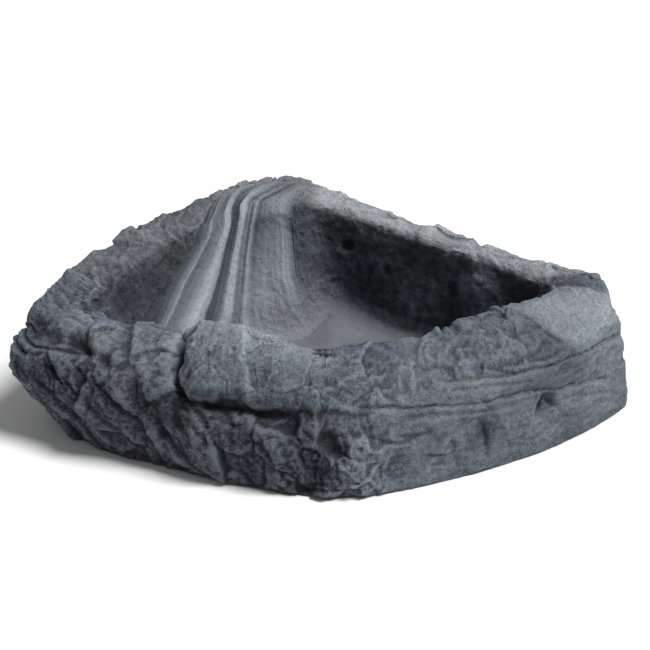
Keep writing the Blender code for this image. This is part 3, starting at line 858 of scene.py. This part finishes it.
def cascade_ramp(finish):
    """The ribbed ramp, on a grid that follows its own ribs."""
    columns, rows = RAMP_GRID
    w, s = np.meshgrid(np.linspace(0.05, 5.95, columns), np.linspace(3.02, 5.25, rows))
    # Stations grow to the left along the lines, so the grid's columns run counterclockwise.
    lines = [np.interp(s, RAMP_PLACES, column) for column in RAMP_STATIONS.T]
    t = lines[0].copy()
    for k, width in enumerate(np.diff(RAMP_LINES)):
        t += np.clip((w - RAMP_LINES[k]) / width, 0, 1) * (lines[k + 1] - lines[k])
    smooth = smooth_surface(t, s)
    normal = normals_of(smooth)
    border = band(w, 0.4, 5.5, 0.35) * band(s, 3.3, 4.85, 0.28)
    wander = 0.35 * NOISES[3].layers(smooth, 16, 3)
    rock = rock_relief(t, s, smooth) * (1 - 0.85 * border)
    streaks = 0.35 * NOISES[4].layers(np.stack([w * 9, s * 1.6, w * 0], axis=-1), 1.0, 3)
    grain = 0.5 * (NOISES[5].ridges(smooth, 7, 3) - 0.5) + 0.25 * NOISES[6].layers(smooth, 4, 2)
    relief = rock + ramp_relief(w + 0.08 * wander, s) + border * (0.6 * streaks + wander * 0.6 + grain)
    relief -= 0.9 * (1 - border)
    points = smooth + normal * relief[..., None]
    under = smooth + normal * (np.minimum(relief, 0) - RAMP_DEPTH)[..., None]
    cavity = cavity_of(relief, closed=False)
    offsets = (-0.12, -0.06, 0.0, 0.06, 0.12)
    paint = sum(np.interp(w + 0.08 * wander + offset, *RAMP_TONES.T) for offset in offsets) / len(offsets)
    low_panel = band(w, 0.8, 1.8, 0.3) * smoothstep(4.3, 4.8, s)
    paint = 0.55 + 0.98 * (paint - 0.5) + 0.16 * streaks + 0.20 * low_panel
    silt = floor_mask(from_station(t, 10), s, points)
    strong = band(w, 0.5, 5.6, 0.35) * smoothstep(3.35, 4.05, s) * (1 - smoothstep(4.95, 5.25, s))
    strong *= 1 - 0.8 * silt * (1 - smoothstep(0.9, 1.6, w))
    # The cavity term paints shade in the ramp's hollows and light on its raised points.
    tone = rock_tone(t, s, points, cavity) * (1 - strong) + (paint + 0.06 * cavity) * strong
    # A painted shadow line under the arched edge over the panel's recess.
    arch_shadow = band(w, 0.25, 1.85, 0.2) * band(s + arch_bow(w), 4.17, 4.24, 0.05)
    attributes = {
        "tone": np.clip(tone - 0.10 * arch_shadow, 0, 1),
        "warmth": rock_warmth(t, s, points) * (1 - 0.8 * strong),
        "grit": 1 - 0.4 * strong,
    }
    mesh = slab_mesh("ribbed_ramp", points, under, attributes)
    add_piece("ribbed_ramp", mesh, finish, "cascade_ramp")


# The foam's places up the outside and down the bowl, and how far it lies behind the surface there.
FOAM_ROWS = (((0.12, 0.5, 1.0, 1.5, 2.0, 2.5), 9.5), ((4.4, 4.6, 4.8, 4.95, 5.1, 5.5, 5.8), 7.5))
FOAM_BOTTOM = 6.8


def foam_core(finish):
    """Filling between the shell and the bowl, clear of the deepest hollows of both."""
    t = np.linspace(0, STATIONS, 160, endpoint=False)
    rows_per_place = 40
    turns, up = np.meshgrid(t, np.linspace(0, CENTRE_AT, int(CENTRE_AT) * rows_per_place + 1))
    smooth = smooth_surface(turns, up)
    normal = normals_of(smooth)
    rows = []
    for places, inset in FOAM_ROWS:
        inner = smooth - normal * inset
        rows.append(inner[[round(place * rows_per_place) for place in places]])
    lowest = rows[0][:1].copy()
    lowest[..., 2] = FOAM_BOTTOM
    rows.insert(0, lowest)
    rows[1][..., 2] = np.maximum(rows[1][..., 2], FOAM_BOTTOM + 0.7)
    rows[2][..., 2] = np.maximum(rows[2][..., 2], FOAM_BOTTOM + 1.4)
    mesh = grid_mesh("foam_fill", rows, {}, tips=((0, 0, FOAM_BOTTOM), (0, 0, FOAM_BOTTOM + 1.6)))
    add_piece("foam_fill", mesh, finish, "foam_core")


BOULDER_STATIONS = (1.90, 3.70)
BOULDER_PLACES = (1.66, 3.92)


def rim_boulder(finish):
    """The lump on the front rim: steep on its left and underneath, running out into the rim on its right."""
    columns, rows = BOULDER_GRID
    t, s = np.meshgrid(np.linspace(*BOULDER_STATIONS, columns), np.linspace(*BOULDER_PLACES, rows))
    smooth = smooth_surface(t, s)
    normal = normals_of(smooth)
    warp = 0.09 * NOISES[5].layers(smooth, 20, 3)
    a, b = t + warp, s + 1.1 * warp + 0.10 * NOISES[6].layers(smooth, 34, 2) + 0.10 * (t - 2.3)
    left = np.sqrt(smoothstep(1.93, 2.16, a))
    right = 1 - smoothstep(2.5, 3.6, a)
    low = np.sqrt(smoothstep(1.80, 2.12, b))
    high = 1 - smoothstep(3.1, 3.8, s)
    body = left * low * right * (0.25 + 0.75 * high) * (1 - smoothstep(3.6, 3.85, s))
    crease = np.exp(-(((a - 2.54) / 0.04) ** 2)) * band(b, 2.1, 3.0, 0.3)
    step_down = smoothstep(2.48, 2.60, a)
    height = body * (15.0 - 3.0 * step_down - 5.0 * smoothstep(2.4, 3.2, a)) - 1.2 * crease
    rough = 0.45 * rough_relief(smooth) + 1.5 * NOISES[6].layers(smooth, 15, 3)
    rough -= 1.5 * NOISES[3].pits(smooth, 7.0, 0.4, 1.4)
    rough += 0.4 * NOISES[0].layers(smooth, 3.4, 2)
    rock = rock_relief(t, s, smooth)
    cover = smoothstep(0.05, 0.4, body)
    relief = height + cover * rough + (1 - cover) * (rock - 1.2)
    points = smooth + normal * relief[..., None]
    points[..., 2] -= 5.0 * body * (1 - smoothstep(2.0, 2.6, b))
    under = smooth + normal * (np.minimum(relief, 0) - BOULDER_DEPTH)[..., None]
    cavity = cavity_of(relief, closed=False)
    attributes = {
        "tone": np.clip(rock_tone(t, s, points, cavity) + 0.15 * crease, 0, 1),
        "warmth": rock_warmth(t, s, points),
        "grit": np.ones_like(t),
    }
    mesh = slab_mesh("boulder_stone", points, under, attributes)
    add_piece("boulder_stone", mesh, finish, "rim_boulder")


# ---- materials ----


class Nodes:
    """A short way to write a material's node tree."""

    def __init__(self, name):
        self.material = bpy.data.materials.new(name)
        self.material.use_nodes = True
        self.tree = self.material.node_tree
        self.shader = self.tree.nodes["Principled BSDF"]

    def add(self, kind, inputs=None, **settings):
        node = self.tree.nodes.new(kind)
        for key, value in settings.items():
            setattr(node, key, value)
        for key, value in (inputs or {}).items():
            if isinstance(value, bpy.types.NodeSocket):
                self.tree.links.new(value, node.inputs[key])
            else:
                node.inputs[key].default_value = value
        return node

    def attribute(self, name):
        return self.add("ShaderNodeAttribute", attribute_name=name).outputs["Fac"]

    def math(self, operation, first, second):
        return self.add("ShaderNodeMath", {0: first, 1: second}, operation=operation).outputs[0]

    def map_range(self, value, to_low, to_high, low=0.0, high=1.0):
        inputs = {"Value": value, "From Min": low, "From Max": high, "To Min": to_low, "To Max": to_high}
        return self.add("ShaderNodeMapRange", inputs).outputs[0]

    def bumped(self, height, strength, distance):
        inputs = {"Strength": strength, "Distance": distance, "Height": height}
        return self.add("ShaderNodeBump", inputs).outputs["Normal"]

    def noise(self, place, scale, detail, roughness):
        node = self.add(
            "ShaderNodeTexNoise",
            {"Vector": place, "Scale": scale, "Detail": detail, "Roughness": roughness},
        )
        return node.outputs["Fac"]

    def ramp(self, factor, stops):
        node = self.add("ShaderNodeValToRGB", {"Fac": factor})
        elements = node.color_ramp.elements
        while len(elements) < len(stops):
            elements.new(0.5)
        for element, (position, color) in zip(elements, stops):
            element.position = position
            element.color = (*color, 1.0)
        return node.outputs["Color"]

    def mix(self, factor, first, second):
        return self.add("ShaderNodeMix", {0: factor, 6: first, 7: second}, data_type="RGBA").outputs[2]

    def link(self, source, target):
        self.tree.links.new(source, self.shader.inputs[target])


BLUE_TONES = [
    (0.00, (0.012, 0.014, 0.018)),
    (0.25, (0.045, 0.054, 0.068)),
    (0.50, (0.110, 0.130, 0.158)),
    (0.75, (0.200, 0.228, 0.262)),
    (1.00, (0.330, 0.362, 0.400)),
]
GREY_TONES = [
    (0.00, (0.014, 0.014, 0.015)),
    (0.25, (0.056, 0.060, 0.064)),
    (0.50, (0.128, 0.136, 0.144)),
    (0.75, (0.225, 0.234, 0.242)),
    (1.00, (0.350, 0.360, 0.368)),
]
SPECK_COLOR = (0.02, 0.023, 0.028, 1.0)
PLATE_TONES = ((0.026, 0.028, 0.030), (0.048, 0.050, 0.054))
RUBBER_TONES = ((0.014, 0.014, 0.015), (0.028, 0.028, 0.029))
FOAM_TONES = ((0.48, 0.40, 0.22), (0.66, 0.58, 0.38))
FLOOR_TONES = ((0.86, 0.86, 0.86), (0.90, 0.90, 0.90))


def rock_material(name, grain=1.0, bump=1.0, roughness=0.82):
    """Cast rock: slate paint by tone, speckles and grain, all from the surface's own place."""
    n = Nodes(name)
    place = n.add("ShaderNodeTexCoord").outputs["Object"]
    tone = n.attribute("tone")
    warmth = n.attribute("warmth")
    grit = n.attribute("grit")
    coarse = n.noise(place, 70.0, 6.0, 0.62)
    fine = n.noise(place, 1050.0, 3.0, 0.65)
    specks = n.add("ShaderNodeTexVoronoi", {"Vector": place, "Scale": 330.0}).outputs["Distance"]
    shifted = n.math("ADD", tone, n.math("MULTIPLY", n.math("SUBTRACT", coarse, 0.5), 0.22 * grain))
    grained = n.math("MULTIPLY", n.math("SUBTRACT", fine, 0.5), n.math("MULTIPLY", grit, 0.72 * grain))
    level = n.math("ADD", shifted, grained)
    blue = n.ramp(level, BLUE_TONES)
    grey = n.ramp(level, GREY_TONES)
    patchy = n.math("ADD", warmth, n.math("SUBTRACT", coarse, 0.5))
    color = n.mix(n.add("ShaderNodeClamp", {"Value": patchy}).outputs[0], blue, grey)
    dark_speck = n.map_range(specks, 0.6, 0.0, 0.08, 0.28)
    speck_share = n.math("MULTIPLY", dark_speck, n.math("GREATER_THAN", coarse, 0.5))
    color = n.mix(n.math("MULTIPLY", speck_share, grit), color, SPECK_COLOR)
    n.link(color, "Base Color")
    n.link(n.map_range(coarse, roughness - 0.1, roughness + 0.1, 0.3, 0.7), "Roughness")
    n.shader.inputs["Specular IOR Level"].default_value = 0.32
    medium = n.noise(place, 330.0, 4.0, 0.65)
    height = n.math("ADD", n.math("MULTIPLY", fine, 0.45), medium)
    height = n.math("MULTIPLY", height, grit)
    height = n.math("SUBTRACT", height, n.math("MULTIPLY", speck_share, 0.5))
    n.link(n.bumped(height, bump, 0.0016), "Normal")
    return n.material


def plain_material(name, dark, light, scale, roughness, bump):
    """Moulded sheet or rubber: two near tones in a fine mottle, with a slight grain."""
    n = Nodes(name)
    place = n.add("ShaderNodeTexCoord").outputs["Object"]
    mottle = n.noise(place, scale, 5.0, 0.6)
    n.link(n.ramp(mottle, [(0.3, dark), (0.7, light)]), "Base Color")
    n.link(n.map_range(mottle, roughness - 0.08, roughness + 0.08), "Roughness")
    n.link(n.bumped(n.noise(place, scale * 6, 3.0, 0.5), bump, 0.0004), "Normal")
    return n.material


def finish_carried_nodes():
    """Better materials on the CAD nodes that stay."""
    plate = plain_material("base_plate_finish", *PLATE_TONES, 160.0, 0.6, 0.35)
    rubber = plain_material("foot_pad_finish", *RUBBER_TONES, 420.0, 0.86, 0.4)
    for name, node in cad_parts.items():
        if name == "base_plate" or name.startswith("foot_pad"):
            node.data.materials.clear()
            node.data.materials.append(plate if name == "base_plate" else rubber)


# ---- camera, floor and lights ----

VIEW_AZIMUTH, VIEW_ELEVATION, VIEW_PITCH = -7.0, 30.0, 26.13
VIEW_DISTANCE = 0.902
VIEW_TARGET = (-0.003, -0.035, 0.0)
LENS = 73.7
SENSOR_WIDTH = 36.0
FLOOR_REACH = 6.0  # metres from the middle to each edge
SKY_STRENGTH = 0.26
SUN_ENERGY = 4.0
SUN_ANGLE = math.radians(24)
SUN_DIRECTION = (-0.62, 0.28, -1.0)


def place_camera():
    azimuth, elevation, pitch = (math.radians(v) for v in (VIEW_AZIMUTH, VIEW_ELEVATION, VIEW_PITCH))
    level = math.cos(elevation)
    back = Vector((math.sin(azimuth) * level, -math.cos(azimuth) * level, math.sin(elevation)))
    camera = bpy.data.objects.new("camera", bpy.data.cameras.new("camera"))
    camera.data.lens = LENS
    camera.data.sensor_width = SENSOR_WIDTH
    camera.location = Vector(VIEW_TARGET) + back * VIEW_DISTANCE
    camera.rotation_euler = (math.radians(90) - pitch, 0.0, azimuth)
    bpy.context.scene.collection.objects.link(camera)
    bpy.context.scene.camera = camera


def add_floor():
    mesh = bpy.data.meshes.new("floor")
    corners = [(x * FLOOR_REACH, y * FLOOR_REACH, 0) for x, y in ((-1, -1), (1, -1), (1, 1), (-1, 1))]
    mesh.from_pydata(corners, [], [(0, 1, 2, 3)])
    floor = bpy.data.objects.new("floor", mesh)
    mesh.materials.append(plain_material("floor_finish", *FLOOR_TONES, 8.0, 0.8, 0.02))
    bpy.context.scene.collection.objects.link(floor)


def light_scene():
    world = bpy.data.worlds.new("studio")
    world.use_nodes = True
    background = world.node_tree.nodes["Background"]
    background.inputs["Color"].default_value = (1.0, 1.0, 1.0, 1.0)
    background.inputs["Strength"].default_value = SKY_STRENGTH
    bpy.context.scene.world = world
    bpy.context.scene.view_settings.view_transform = "Standard"
    data = bpy.data.lights.new("key", "SUN")
    data.energy = SUN_ENERGY
    data.angle = SUN_ANGLE
    key = bpy.data.objects.new("key", data)
    key.rotation_euler = Vector(SUN_DIRECTION).to_track_quat("-Z", "Y").to_euler()
    bpy.context.scene.collection.objects.link(key)


def main():
    place_camera()
    add_floor()
    light_scene()
    rock = Rock()
    rock_shell(rock, rock_material("rock_finish"))
    pool_liner(rock, rock_material("liner_finish", grain=0.8, bump=0.8))
    cascade_ramp(rock_material("ramp_finish", grain=0.7, bump=0.7, roughness=0.78))
    rim_boulder(rock_material("boulder_finish"))
    foam_core(plain_material("foam_finish", *FOAM_TONES, 300.0, 0.9, 0.6))
    finish_carried_nodes()


main()
